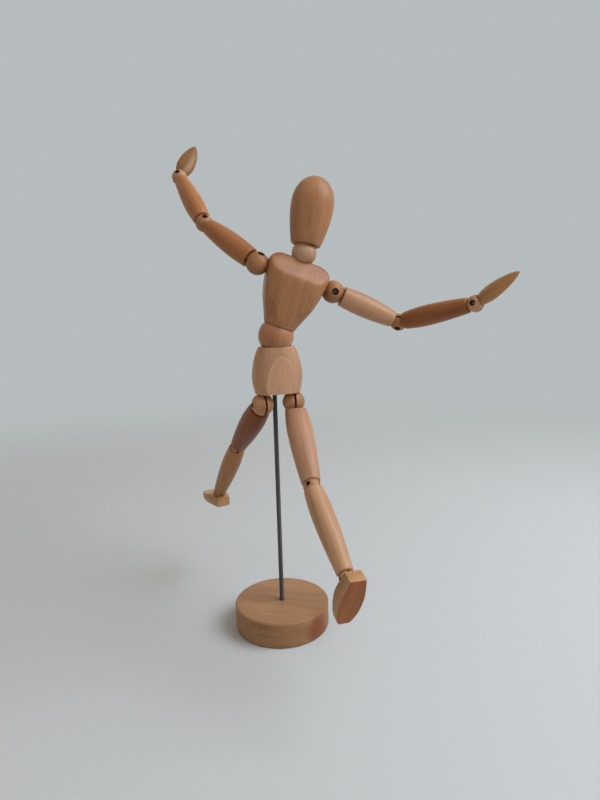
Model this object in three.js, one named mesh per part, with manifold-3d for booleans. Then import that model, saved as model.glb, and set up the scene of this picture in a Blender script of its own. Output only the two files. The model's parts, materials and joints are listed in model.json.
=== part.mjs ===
// A jointed wooden artist's figure on a steel rod and a round wooden base.
// Millimetres, +Z up, origin at the middle of the base's underside, the figure faces -Y.
// Every limb runs along its own +Z from one ball joint to the next, with the joint's pin along X.
import * as THREE from 'three';
import { mergeVertices } from 'three/addons/utils/BufferGeometryUtils.js';
import Module from 'manifold-3d';

const wasm = await Module();
wasm.setup();

// Stand
const BASE_DIAMETER = 69;
const BASE_HEIGHT = 18.7;
const BASE_EDGE_ROUND = 1.6;
const ROD_DIAMETER = 3.2;
const ROD_DEPTH_IN_BASE = 13;
const ROD_DEPTH_IN_PELVIS = 18;
const PELVIS_BOTTOM_HEIGHT = 176.9;
const FIGURE_FORWARD_OF_ROD = 8;

// Fits
const CLEARANCE = 0.3;
const PIN_DIAMETER = 1.6;
const WIRE_DIAMETER = 0.7;
const COIL_DIAMETER = 5.2;
const OVERCUT = 1; // how far a cutter runs past the wood it cuts

// Trunk
const PELVIS_HEIGHT = 31.8;
const PELVIS_DEPTH = 25;
const PELVIS_SQUARENESS = 2.3;
const PELVIS_SECTIONS = [ // share of the height, width, depth
  [0, 29.4, 22], [0.03, 31.4, 23.6], [0.2, 34.4, 25], [0.36, 35.4, 25], [0.54, 34.2, 24.6],
  [0.72, 31.8, 23.6], [0.88, 28.7, 22], [0.97, 25.7, 20.6], [1, 24.5, 20],
];
const FACET_HEIGHT = 25.4; // top of the flat arch sawn on the pelvis's front
const FACET_DEPTH = 3; // how far the saw cuts in at the bottom edge
const HIP_SPACING = 22.4;
const HIP_BELOW_PELVIS = 7.4;
const WAIST_BALL_DIAMETER = 24;
const WAIST_ABOVE_PELVIS = 7;
const CHEST_HEIGHT = 48.8;
const CHEST_DEPTH = 27;
const CHEST_SQUARENESS = 2.8;
const CHEST_BOTTOM_SQUARENESS = 2;
const CHEST_SQUARE_FROM = 0.5; // share of the height from which the chest is fully square
const CHEST_SECTIONS = [ // share of the height, width, depth
  [0, 20, 22.4], [0.03, 21.4, 23], [0.24, 28.4, 24.4], [0.42, 35.2, 25.8], [0.54, 38.2, 26.6],
  [0.7, 40.8, 27], [0.87, 42.6, 26], [0.93, 40.2, 24.4], [0.97, 35.6, 22], [1, 28.6, 18],
];
const CHEST_ABOVE_WAIST = 4.5;
const CHEST_RIDGE_HEIGHT = 36.3;
const CHEST_SLOPE_BACK = 4;
const SHOULDER_SPACING = 54.4;
const SHOULDER_BELOW_CHEST_TOP = 12.5;
const NECK_BALL_DIAMETER = 16.8;
const NECK_ABOVE_CHEST = 4.7;
const HEAD = { height: 45.8, diameter: 28.8, bottomDiameter: 20, widestAt: 0.6, edge: 0.8 };
const HEAD_ABOVE_NECK = 5.3;
const WIRE_CONE_ANGLE = 34; // half-angle of the flared holes that let the waist and neck wires lean

// Ball joints of the limbs: ball size, and the sunk hole over each end of its pin.
// The saw slot leaves one side of the ball whole: web is that side's angle from the joint's +Z towards its +Y,
// mirrored in the right arm, and webFrom is the share of the radius at which the whole side begins.
const BALLS = {
  shoulder: { diameter: 15.4, recess: 4.8, web: 90, webFrom: 0.35 },
  elbow: { diameter: 12, recess: 4, web: 90, webFrom: 0.35 },
  wrist: { diameter: 11.2, recess: 3.8, web: 0, webFrom: 0.3 },
  hip: { diameter: 15.4, recess: 3.2, web: -118, webFrom: 0.8 },
  knee: { diameter: 11.2, recess: 3, web: -118, webFrom: 0.8 },
  ankle: { diameter: 9.6, recess: 2.6, web: 0, webFrom: 0.34 },
};
const RECESS_DEPTH = 2.6;

// Limbs: length from ball to ball, diameters at the start, the widest place and the end,
// and how far each end stops from the middle of its ball
const LIMBS = {
  upper_arm: { length: 51.5, start: 14, widest: 15.2, widestAt: 0.35, end: 11.6, startGap: 6.6, endGap: 4.8 },
  forearm: { length: 56, start: 12, widest: 14.2, widestAt: 0.32, end: 10.4, startGap: 4.8, endGap: 4.4 },
  thigh: { length: 68, start: 14.6, widest: 17.2, widestAt: 0.3, end: 12.6, startGap: 6.2, endGap: 2.6 },
  shin: { length: 64, start: 12.6, widest: 14.4, widestAt: 0.3, end: 10.4, startGap: 2.6, endGap: 3 },
};
const RIM_ROUND = 0.8; // the broken edge of a limb's end
const THIGH_RELIEF = 35; // the thigh's top is sawn off at this angle on the side it is raised to
const HAND_LENGTH = 29;
const HAND_FLAT = 3.6; // from the wrist ball's middle to the flat that the hand is glued on
const HAND_SECTIONS = [ // share of the length, breadth, thickness
  [0, 9, 6.2], [0.1, 10.8, 6.3], [0.22, 12.4, 6.1], [0.36, 12.6, 5.6], [0.52, 11.8, 4.9],
  [0.68, 9.8, 4.1], [0.83, 6.8, 3.1], [0.94, 3.6, 2.2], [1, 1.4, 1.3],
];
const HAND_TURN = 58; // from the pin to the hand's breadth, mirrored between the two sides
const FOOT = {
  heel: 8, toe: 25, width: 16.5, heelWidth: 10.5, toeWidth: 7, sole: 10, top: 2.2, toeThickness: 2.8,
};

// Pose in degrees: [swivel, flex] for each limb joint.
// The swivel turns a ball about its parent's axis, the flex turns the limb about the ball's pin.
const WAIST_POSE = { turn: -9.8, side: 21.5, bend: -2.9 };
const NECK_POSE = { side: -8.8, nod: -3.2, turn: 0 };
const POSE = {
  right: {
    shoulder: [59, -37.2], elbow: [-17, -23.8], wrist: [-24.2, -40.8],
    hip: [-6.7, 52.3], knee: [16, -13], ankle: [159, 36],
  },
  left: {
    shoulder: [1, -3.9], elbow: [56.8, 58.8], wrist: [-57.2, 23.1],
    hip: [7.4, -48.9], knee: [-54.4, -8.3], ankle: [-138, 15],
  },
};

// Facets
const SIDES = 14; // round the limbs and the sockets
const RINGS = 8;
const BALL_SIDES = 12; // round the limbs' balls
const TRUNK_BALL_SIDES = 18; // round the waist and neck balls and the head
const TRUNK_BALL_RINGS = 10;
const TRUNK_SIDES = 24;
const BASE_SIDES = 36;
const BORE_SIDES = 8;
const WIRE_SIDES = 4;
const COIL_STEPS = 5;

const wood = new THREE.MeshStandardMaterial({ color: '#b98a5f', roughness: 0.42, metalness: 0 });
const paleWood = new THREE.MeshStandardMaterial({ color: '#c09a70', roughness: 0.5, metalness: 0 });
const steel = new THREE.MeshStandardMaterial({ color: '#8d8f93', roughness: 0.28, metalness: 1 });
const springSteel = new THREE.MeshStandardMaterial({ color: '#6f7175', roughness: 0.4, metalness: 1 });

const radians = THREE.MathUtils.degToRad;

// A facetted ball touches its true sphere only at its corners, so a socket is cut this much larger.
const socketScale = (sides, rings) => 1 / (Math.cos(Math.PI / sides) * Math.cos(Math.PI / (2 * rings)));

function solid(geometry) {
  const bare = geometry.clone();
  bare.deleteAttribute('normal');
  bare.deleteAttribute('uv');
  const merged = mergeVertices(bare, 1e-4);
  return new wasm.Manifold(new wasm.Mesh({
    numProp: 3,
    vertProperties: new Float32Array(merged.attributes.position.array),
    triVerts: new Uint32Array(merged.index.array),
  }));
}

function geometryOf(body) {
  const { vertProperties, triVerts } = body.getMesh();
  const geometry = new THREE.BufferGeometry();
  geometry.setAttribute('position', new THREE.BufferAttribute(vertProperties, 3));
  geometry.setIndex(new THREE.BufferAttribute(triVerts, 1));
  return geometry;
}

function addPiece(parent, name, body, material) {
  const mesh = new THREE.Mesh(geometryOf(body), material);
  mesh.name = name;
  parent.add(mesh);
}

function turned(outline, sides = SIDES) {
  const points = outline.map(([radius, height]) => new THREE.Vector2(radius, height));
  return solid(new THREE.LatheGeometry(points, sides).rotateX(Math.PI / 2));
}

function sphere(diameter, x = 0, y = 0, z = 0, sides = SIDES, rings = RINGS) {
  return solid(new THREE.SphereGeometry(diameter / 2, sides, rings).rotateX(Math.PI / 2).translate(x, y, z));
}

function socket(diameter, x, y, z, sides = SIDES, rings = RINGS) {
  return sphere((diameter + 2 * CLEARANCE) * socketScale(sides, rings), x, y, z, sides, rings);
}

// A round bar along Z from one height to another.
function bar(diameter, from, to, x = 0, y = 0, sides = BORE_SIDES) {
  const geometry = new THREE.CylinderGeometry(diameter / 2, diameter / 2, to - from, sides);
  return solid(geometry.rotateX(Math.PI / 2).translate(x, y, (from + to) / 2));
}

function crossBar(diameter, from, to, y = 0, z = 0, sides = BORE_SIDES) {
  const geometry = new THREE.CylinderGeometry(diameter / 2, diameter / 2, to - from, sides);
  return solid(geometry.rotateZ(Math.PI / 2).translate((from + to) / 2, y, z));
}

// A closed skin over rings of points, each ring with the same count and all running the same way round.
function skin(rings) {
  const count = rings[0].length;
  const positions = rings.flat().flatMap((point) => [point.x, point.y, point.z]);
  const index = [];
  for (let ring = 0; ring + 1 < rings.length; ring += 1) {
    for (let step = 0; step < count; step += 1) {
      const here = ring * count + step;
      const next = ring * count + ((step + 1) % count);
      index.push(here, next, next + count, here, next + count, here + count);
    }
  }
  const last = (rings.length - 1) * count;
  for (let step = 1; step + 1 < count; step += 1) {
    index.push(0, step + 1, step, last, last + step, last + step + 1);
  }
  const geometry = new THREE.BufferGeometry();
  geometry.setAttribute('position', new THREE.Float32BufferAttribute(positions, 3));
  geometry.setIndex(index);
  return solid(geometry);
}

// A level rounded outline: a superellipse, round at a power of 2 and squarer above it.
function roundedRing(height, width, depth, power, sides) {
  const ring = [];
  for (let step = 0; step < sides; step += 1) {
    const angle = (2 * Math.PI * step) / sides;
    const x = Math.sign(Math.cos(angle)) * Math.abs(Math.cos(angle)) ** (2 / power);
    const y = Math.sign(Math.sin(angle)) * Math.abs(Math.sin(angle)) ** (2 / power);
    ring.push(new THREE.Vector3((x * width) / 2, (y * depth) / 2, height));
  }
  return ring;
}

// One unbroken wire swept along points, with flat ends.
function wire(points) {
  const rings = [];
  const across = new THREE.Vector3(1, 0, 0);
  points.forEach((point, at) => {
    const before = points[Math.max(at - 1, 0)];
    const after = points[Math.min(at + 1, points.length - 1)];
    const along = after.clone().sub(before).normalize();
    across.addScaledVector(along, -across.dot(along)).normalize();
    const up = along.clone().cross(across);
    const ring = [];
    for (let side = 0; side < WIRE_SIDES; side += 1) {
      const angle = (2 * Math.PI * (side + 0.5)) / WIRE_SIDES;
      const offset = across.clone().multiplyScalar(Math.cos(angle)).addScaledVector(up, Math.sin(angle));
      ring.push(point.clone().addScaledVector(offset, WIRE_DIAMETER / 2));
    }
    rings.push(ring);
  });
  return skin(rings);
}

const eyeRadius = PIN_DIAMETER / 2 + CLEARANCE + WIRE_DIAMETER / 2;
const tailGap = eyeRadius + WIRE_DIAMETER / 2 + CLEARANCE;

// The loop that hooks over a pin lying along X at the origin, leaving it along +Z.
function eyePoints() {
  const points = [];
  for (let degrees = 60; degrees <= 330; degrees += 45) {
    const angle = radians(degrees);
    points.push(new THREE.Vector3(0, eyeRadius * Math.sin(angle), eyeRadius * Math.cos(angle)));
  }
  return points;
}

function coilPoints(from, to, turns) {
  const radius = (COIL_DIAMETER - WIRE_DIAMETER) / 2;
  const points = [];
  for (let step = 0; step <= turns * COIL_STEPS; step += 1) {
    const angle = (2 * Math.PI * step) / COIL_STEPS;
    const height = from + ((to - from) * step) / (turns * COIL_STEPS);
    points.push(new THREE.Vector3(radius * Math.cos(angle), radius * Math.sin(angle), height));
  }
  return points;
}

// A tension spring along Z: a straight tail, the coil, and a second tail or an eye where asked.
function spring({ eye = false, tailFrom, from, to, turns, tailTo }) {
  const points = eye ? eyePoints() : [];
  if (tailFrom !== undefined) {
    points.push(new THREE.Vector3(0, 0, tailFrom), new THREE.Vector3(0, 0, from - COIL_DIAMETER / 2));
  }
  points.push(...coilPoints(from, to, turns));
  if (tailTo !== undefined) {
    points.push(new THREE.Vector3(0, 0, to + COIL_DIAMETER / 2), new THREE.Vector3(0, 0, tailTo));
  }
  return wire(points);
}

const boreDiameter = COIL_DIAMETER + 2 * CLEARANCE;
const coilTurns = 3;

// A slotted ball with its cross pin's hole and the sunk recess over each end of the pin.
function slottedBall({ diameter, recess, web, webFrom }, mirror = 1) {
  const radius = diameter / 2;
  const webAt = webFrom * radius;
  const slot = new THREE.BoxGeometry(
    WIRE_DIAMETER + 2 * CLEARANCE, diameter + 2 * OVERCUT, radius + OVERCUT + webAt);
  slot.translate(0, 0, (webAt - radius - OVERCUT) / 2).rotateX(radians(-mirror * web));
  const floor = radius - RECESS_DEPTH;
  return sphere(diameter, 0, 0, 0, BALL_SIDES)
    .subtract(solid(slot))
    .subtract(crossBar(PIN_DIAMETER + 2 * CLEARANCE, -radius, radius))
    .subtract(crossBar(recess, floor, radius + OVERCUT))
    .subtract(crossBar(recess, -radius - OVERCUT, -floor));
}

const pinOf = ({ diameter }) => crossBar(PIN_DIAMETER, RECESS_DEPTH - diameter / 2 - CLEARANCE,
  diameter / 2 - RECESS_DEPTH + CLEARANCE);

// The cup for a ball, from the bore's edge out to the limb's end: pairs of radius and distance from the ball.
function cup(ball, gap) {
  const steps = 2;
  const reach = (ball.diameter / 2 + CLEARANCE) * socketScale(SIDES, 2 * RINGS);
  const inner = Math.asin(boreDiameter / 2 / reach);
  const outer = Math.acos(gap / reach);
  return Array.from({ length: steps + 1 }, (_, step) => {
    const angle = THREE.MathUtils.lerp(inner, outer, step / steps);
    return [reach * Math.sin(angle), reach * Math.cos(angle)];
  });
}

// A turned limb that swells from its start to its widest place and tapers to its end,
// cupped at both ends for the balls and bored through for its spring.
function limb({ length, start, widest, widestAt, end, startGap, endGap }, startBall, endBall) {
  const startCup = cup(startBall, startGap);
  const endCup = cup(endBall, endGap).map(([radius, reach]) => [radius, length - reach]).reverse();
  const from = startGap + RIM_ROUND;
  const to = length - endGap - RIM_ROUND;
  const stations = 6;
  const swell = Array.from({ length: stations + 1 }, (_, step) => {
    const share = step / stations;
    const diameter = share < widestAt
      ? start + (widest - start) * Math.sin((Math.PI / 2) * (share / widestAt))
      : end + (widest - end) * Math.cos((Math.PI / 2) * ((share - widestAt) / (1 - widestAt)));
    return [diameter / 2, THREE.MathUtils.lerp(from, to, share)];
  });
  const startRim = [start / 2 - RIM_ROUND, startGap];
  const endRim = [end / 2 - RIM_ROUND, length - endGap];
  return turned([...startCup, startRim, ...swell, endRim, ...endCup, startCup[0]]);
}

// The saw cut that lets a raised thigh clear the pelvis, on the thigh's +Y side or its -Y side.
function reliefCut({ start, startGap }, towards) {
  const cutter = new THREE.BoxGeometry(4 * start, 4 * start, 2 * start).translate(0, 0, -start);
  return solid(cutter.rotateX(radians(towards * THIGH_RELIEF)).translate(0, 0, startGap));
}

// A limb's spring hooks over its first pin and reaches the next one.
function limbSpring({ length }, startBall, endBall) {
  return spring({
    eye: true,
    tailFrom: 2 * eyeRadius,
    from: startBall.diameter / 2 + COIL_DIAMETER / 2,
    to: length - endBall.diameter / 2 - COIL_DIAMETER / 2,
    turns: coilTurns,
    tailTo: length - tailGap,
  });
}

// A leaf-shaped hand, glued by its root to the flat on its wrist ball, with the palm turned from the pin.
function hand(mirror) {
  const root = HAND_FLAT + CLEARANCE;
  return skin(HAND_SECTIONS.map(([share, breadth, thickness]) => roundedRing(
    root + share * HAND_LENGTH, breadth, thickness, 2, BALL_SIDES))).rotate([0, 0, mirror * HAND_TURN]);
}

// A wedge-shaped foot: a flat sole across +Z, the toe along +Y, and a cup for the ankle ball on top.
function foot({ heel, toe, width, heelWidth, toeWidth, sole, top, toeThickness }) {
  const plan = new THREE.Shape();
  plan.moveTo(-heelWidth / 2, -heel);
  plan.lineTo(heelWidth / 2, -heel);
  plan.quadraticCurveTo(width * 0.54, toe * 0.2, width / 2, toe * 0.45);
  plan.quadraticCurveTo(width * 0.475, toe * 0.8, toeWidth / 2, toe);
  plan.lineTo(-toeWidth / 2, toe);
  plan.quadraticCurveTo(-width * 0.475, toe * 0.8, -width / 2, toe * 0.45);
  plan.quadraticCurveTo(-width * 0.54, toe * 0.2, -heelWidth / 2, -heel);
  const slab = new THREE.ExtrudeGeometry(plan, { depth: sole - top, bevelEnabled: false, curveSegments: 4 });
  slab.translate(0, 0, top);
  const rise = sole - toeThickness - top;
  const run = toe - BALLS.ankle.diameter / 2;
  const instep = new THREE.BoxGeometry(2 * width, 2 * toe, 2 * toe).translate(0, toe, -toe);
  instep.rotateX(Math.atan2(rise, run)).translate(0, BALLS.ankle.diameter / 2, top);
  return solid(slab).subtract(solid(instep)).subtract(socket(BALLS.ankle.diameter, 0, 0, 0));
}

function place(parent, x, y, z) {
  const group = new THREE.Group();
  group.position.set(x, y, z);
  parent.add(group);
  return group;
}

function turn(parent, axis, degrees, name) {
  const group = new THREE.Group();
  group.rotation[axis] = radians(degrees);
  group.name = name;
  parent.add(group);
  return group;
}

// A ball that stays between two limbs: it swivels with its pin, and the next limb flexes about the pin.
function ballJoint(parent, side, joint, height, mirror = 1) {
  const name = `${side}_${joint}`;
  const [swivel, flex] = POSE[side][joint];
  const turning = turn(place(parent, 0, 0, height), 'z', swivel, `${name}_swivel`);
  addPiece(turning, `${name}_ball`, slottedBall(BALLS[joint], mirror), wood);
  addPiece(turning, `${name}_pin`, pinOf(BALLS[joint]), steel);
  return turn(turning, 'x', flex, `${name}_flex`);
}

// A ball fixed to the hand or foot beyond it: its pin swivels alone, and the ball flexes on the pin.
function endJoint(parent, side, joint, height) {
  const name = `${side}_${joint}`;
  const [swivel, flex] = POSE[side][joint];
  const turning = turn(place(parent, 0, 0, height), 'z', swivel, `${name}_swivel`);
  addPiece(turning, `${name}_pin`, pinOf(BALLS[joint]), steel);
  return turn(turning, 'x', flex, `${name}_flex`);
}

function addLimb(parent, side, kind, startBall, endBall, towards = 0) {
  const whole = limb(LIMBS[kind], startBall, endBall);
  addPiece(parent, `${side}_${kind}`, towards ? whole.subtract(reliefCut(LIMBS[kind], towards)) : whole, wood);
  addPiece(parent, `${side}_${kind}_spring`, limbSpring(LIMBS[kind], startBall, endBall), springSteel);
}

function addArm(shoulder, side) {
  const mirror = side === 'left' ? 1 : -1;
  const upperArm = ballJoint(shoulder, side, 'shoulder', 0, mirror);
  addLimb(upperArm, side, 'upper_arm', BALLS.shoulder, BALLS.elbow);
  const forearm = ballJoint(upperArm, side, 'elbow', LIMBS.upper_arm.length, mirror);
  addLimb(forearm, side, 'forearm', BALLS.elbow, BALLS.wrist);
  const wrist = endJoint(forearm, side, 'wrist', LIMBS.forearm.length);
  const trim = new THREE.BoxGeometry(BALLS.wrist.diameter, BALLS.wrist.diameter, BALLS.wrist.diameter);
  trim.translate(0, 0, HAND_FLAT + BALLS.wrist.diameter / 2);
  addPiece(wrist, `${side}_wrist_ball`, slottedBall(BALLS.wrist).subtract(solid(trim)), wood);
  addPiece(wrist, `${side}_hand`, hand(mirror), wood);
}

function addLeg(hip, side) {
  const thigh = ballJoint(hip, side, 'hip', 0);
  addLimb(thigh, side, 'thigh', BALLS.hip, BALLS.knee, -Math.sign(POSE[side].hip[1]));
  const shin = ballJoint(thigh, side, 'knee', LIMBS.thigh.length);
  addLimb(shin, side, 'shin', BALLS.knee, BALLS.ankle);
  const ankle = endJoint(shin, side, 'ankle', LIMBS.shin.length);
  addPiece(ankle, `${side}_ankle_ball`, slottedBall(BALLS.ankle), wood);
  addPiece(ankle, `${side}_foot`, foot(FOOT), wood);
}

const rodFrom = BASE_HEIGHT - ROD_DEPTH_IN_BASE;
const rodTo = PELVIS_BOTTOM_HEIGHT + ROD_DEPTH_IN_PELVIS;
const rodHole = ROD_DIAMETER + 2 * CLEARANCE;

function base() {
  const radius = BASE_DIAMETER / 2;
  const outline = [[0, 0]];
  const arcSteps = 2;
  for (let step = 0; step <= arcSteps; step += 1) {
    const angle = (Math.PI / 2) * (step / arcSteps);
    outline.push([radius - BASE_EDGE_ROUND * (1 - Math.sin(angle)), BASE_EDGE_ROUND * (1 - Math.cos(angle))]);
  }
  for (let step = 0; step <= arcSteps; step += 1) {
    const angle = (Math.PI / 2) * (step / arcSteps);
    outline.push([radius - BASE_EDGE_ROUND * (1 - Math.cos(angle)),
      BASE_HEIGHT - BASE_EDGE_ROUND * (1 - Math.sin(angle))]);
  }
  outline.push([0, BASE_HEIGHT]);
  return turned(outline, BASE_SIDES).subtract(bar(rodHole, rodFrom - CLEARANCE, BASE_HEIGHT + 1));
}

// The waist and neck wires lean inside their balls, so each hole flares from the ball's middle outwards.
function boredBall(diameter) {
  const reach = diameter / 2 + 1;
  const flare = WIRE_DIAMETER / 2 + CLEARANCE + reach * Math.tan(radians(WIRE_CONE_ANGLE));
  const throat = WIRE_DIAMETER / 2 + CLEARANCE;
  const hole = turned([[0, -reach], [flare, -reach], [throat, 0], [flare, reach], [0, reach]], 12);
  return sphere(diameter, 0, 0, 0, TRUNK_BALL_SIDES, TRUNK_BALL_RINGS).subtract(hole);
}

const hipBoreTop = PELVIS_HEIGHT * 0.7;
const waistBoreBottom = PELVIS_HEIGHT * 0.3;
const waistHeight = PELVIS_HEIGHT + WAIST_ABOVE_PELVIS;

function pelvis() {
  const body = skin(PELVIS_SECTIONS.map(([share, width, depth]) => roundedRing(
    share * PELVIS_HEIGHT, width, depth, PELVIS_SQUARENESS, TRUNK_SIDES)));
  // The flat arch: a plane that meets the curved front at the facet's top and cuts in towards the bottom.
  const facet = new THREE.BoxGeometry(2 * PELVIS_DEPTH, PELVIS_DEPTH, 3 * PELVIS_HEIGHT);
  facet.translate(0, -PELVIS_DEPTH / 2, 0).rotateX(Math.atan2(FACET_DEPTH, FACET_HEIGHT));
  facet.translate(0, -PELVIS_DEPTH / 2 + FACET_DEPTH, 0);
  let cut = body.subtract(solid(facet))
    .subtract(socket(WAIST_BALL_DIAMETER, 0, 0, waistHeight, TRUNK_BALL_SIDES, TRUNK_BALL_RINGS))
    .subtract(bar(boreDiameter, waistBoreBottom, waistHeight))
    .subtract(bar(rodHole, -1, ROD_DEPTH_IN_PELVIS + CLEARANCE, 0, FIGURE_FORWARD_OF_ROD));
  for (const x of [-HIP_SPACING / 2, HIP_SPACING / 2]) {
    cut = cut.subtract(socket(BALLS.hip.diameter, x, 0, -HIP_BELOW_PELVIS))
      .subtract(bar(boreDiameter, -1, hipBoreTop, x, 0));
  }
  return cut;
}

const neckHeight = CHEST_ABOVE_WAIST + CHEST_HEIGHT + NECK_ABOVE_CHEST;
const shoulderHeight = CHEST_ABOVE_WAIST + CHEST_HEIGHT - SHOULDER_BELOW_CHEST_TOP;
const shoulderBoreEnd = 7;
const headBoreTop = HEAD_ABOVE_NECK + HEAD.height / 2;
const springEndGap = 2; // left between a spring's end and the bottom of its blind bore

function chest() {
  const floor = CHEST_ABOVE_WAIST;
  const body = skin(CHEST_SECTIONS.map(([share, width, depth]) => roundedRing(
    floor + share * CHEST_HEIGHT, width, depth,
    THREE.MathUtils.mapLinear(Math.min(share, CHEST_SQUARE_FROM), 0, CHEST_SQUARE_FROM,
      CHEST_BOTTOM_SQUARENESS, CHEST_SQUARENESS), TRUNK_SIDES)));
  // The breast slopes back from its ridge to the foot of the neck.
  const slope = new THREE.BoxGeometry(4 * CHEST_DEPTH, 2 * CHEST_DEPTH, 2 * CHEST_DEPTH);
  slope.translate(0, 0, CHEST_DEPTH);
  slope.rotateX(Math.atan2(CHEST_HEIGHT - CHEST_RIDGE_HEIGHT, CHEST_DEPTH / 2 - CHEST_SLOPE_BACK));
  slope.translate(0, -CHEST_DEPTH / 2, floor + CHEST_RIDGE_HEIGHT);
  let cut = body.subtract(solid(slope))
    .subtract(socket(WAIST_BALL_DIAMETER, 0, 0, 0, TRUNK_BALL_SIDES, TRUNK_BALL_RINGS))
    .subtract(socket(NECK_BALL_DIAMETER, 0, 0, neckHeight, TRUNK_BALL_SIDES, TRUNK_BALL_RINGS))
    .subtract(bar(boreDiameter, 0, neckHeight));
  for (const side of [-1, 1]) {
    const x = (side * SHOULDER_SPACING) / 2;
    const boreEnds = [x, side * shoulderBoreEnd].sort((a, b) => a - b);
    cut = cut.subtract(socket(BALLS.shoulder.diameter, x, 0, shoulderHeight))
      .subtract(crossBar(boreDiameter, ...boreEnds, 0, shoulderHeight));
  }
  return cut;
}

function head() {
  const { height, diameter, bottomDiameter, widestAt, edge } = HEAD;
  const chin = HEAD_ABOVE_NECK;
  const jaw = bottomDiameter / 2;
  const outline = [[0, chin], [jaw - edge, chin], [jaw, chin + edge]];
  const stations = 5;
  for (let step = 1; step <= stations; step += 1) {
    const share = step / stations;
    const swell = Math.sin((Math.PI / 2) * share);
    const width = THREE.MathUtils.lerp(bottomDiameter, diameter, swell);
    outline.push([width / 2, chin + height * widestAt * share]);
  }
  const crown = height * (1 - widestAt);
  for (let step = 1; step < stations; step += 1) {
    const angle = (Math.PI / 2) * (step / stations);
    outline.push([(diameter / 2) * Math.cos(angle), chin + height - crown * (1 - Math.sin(angle))]);
  }
  outline.push([0, chin + height]);
  return turned(outline, TRUNK_BALL_SIDES)
    .subtract(socket(NECK_BALL_DIAMETER, 0, 0, 0, TRUNK_BALL_SIDES, TRUNK_BALL_RINGS))
    .subtract(bar(boreDiameter, 0, headBoreTop));
}

const figure = new THREE.Group();
addPiece(figure, 'base', base(), paleWood);
addPiece(figure, 'rod', bar(ROD_DIAMETER, rodFrom, rodTo, 0, 0, 12), steel);

const hips = turn(place(figure, 0, 0, PELVIS_BOTTOM_HEIGHT), 'z', 0, 'pelvis_turn');
const trunk = place(hips, 0, -FIGURE_FORWARD_OF_ROD, 0);
addPiece(trunk, 'pelvis', pelvis(), wood);

const waistTurn = turn(place(trunk, 0, 0, waistHeight), 'z', WAIST_POSE.turn, 'waist_turn');
addPiece(waistTurn, 'waist_spring', spring({
  from: waistBoreBottom + springEndGap - waistHeight,
  to: -WAIST_BALL_DIAMETER / 2 - COIL_DIAMETER,
  turns: coilTurns,
  tailTo: -WIRE_DIAMETER,
}), springSteel);
const waistSide = turn(waistTurn, 'y', WAIST_POSE.side, 'waist_side');
addPiece(waistSide, 'waist_ball', boredBall(WAIST_BALL_DIAMETER), wood);
const torso = turn(waistSide, 'x', WAIST_POSE.bend, 'waist_bend');
addPiece(torso, 'chest', chest(), wood);
addPiece(torso, 'spine_spring', spring({
  tailFrom: WIRE_DIAMETER,
  from: WAIST_BALL_DIAMETER / 2 + COIL_DIAMETER,
  to: neckHeight - NECK_BALL_DIAMETER / 2 - COIL_DIAMETER,
  turns: coilTurns,
  tailTo: neckHeight - WIRE_DIAMETER,
}), springSteel);

const neckSide = turn(place(torso, 0, 0, neckHeight), 'y', NECK_POSE.side, 'neck_side');
addPiece(neckSide, 'neck_ball', boredBall(NECK_BALL_DIAMETER), wood);
const neckNod = turn(neckSide, 'x', NECK_POSE.nod, 'neck_nod');
addPiece(neckNod, 'neck_spring', spring({
  tailFrom: WIRE_DIAMETER,
  from: NECK_BALL_DIAMETER / 2 + COIL_DIAMETER,
  to: headBoreTop - springEndGap,
  turns: coilTurns,
}), springSteel);
addPiece(turn(neckNod, 'z', NECK_POSE.turn, 'neck_turn'), 'head', head(), wood);

for (const [side, out] of [['right', -1], ['left', 1]]) {
  const shoulder = place(torso, (out * SHOULDER_SPACING) / 2, 0, shoulderHeight);
  const front = new THREE.Vector3(0, -1, 0);
  const outward = new THREE.Vector3(out, 0, 0);
  shoulder.quaternion.setFromRotationMatrix(
    new THREE.Matrix4().makeBasis(front, outward.clone().cross(front), outward));
  addPiece(shoulder, `${side}_shoulder_spring`, spring({
    from: shoulderBoreEnd + springEndGap - SHOULDER_SPACING / 2,
    to: -BALLS.shoulder.diameter / 2 - COIL_DIAMETER / 2,
    turns: coilTurns - 1,
    tailTo: -tailGap,
  }), springSteel);
  addArm(shoulder, side);

  const hip = place(trunk, (out * HIP_SPACING) / 2, 0, -HIP_BELOW_PELVIS);
  hip.rotation.x = Math.PI;
  addPiece(hip, `${side}_hip_spring`, spring({
    from: springEndGap - HIP_BELOW_PELVIS - hipBoreTop,
    to: -BALLS.hip.diameter / 2 - COIL_DIAMETER / 2,
    turns: coilTurns,
    tailTo: -tailGap,
  }), springSteel);
  addLeg(hip, side);
}

export default figure;
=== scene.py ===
import json
import math

import bpy
from mathutils import Matrix, Vector


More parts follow.
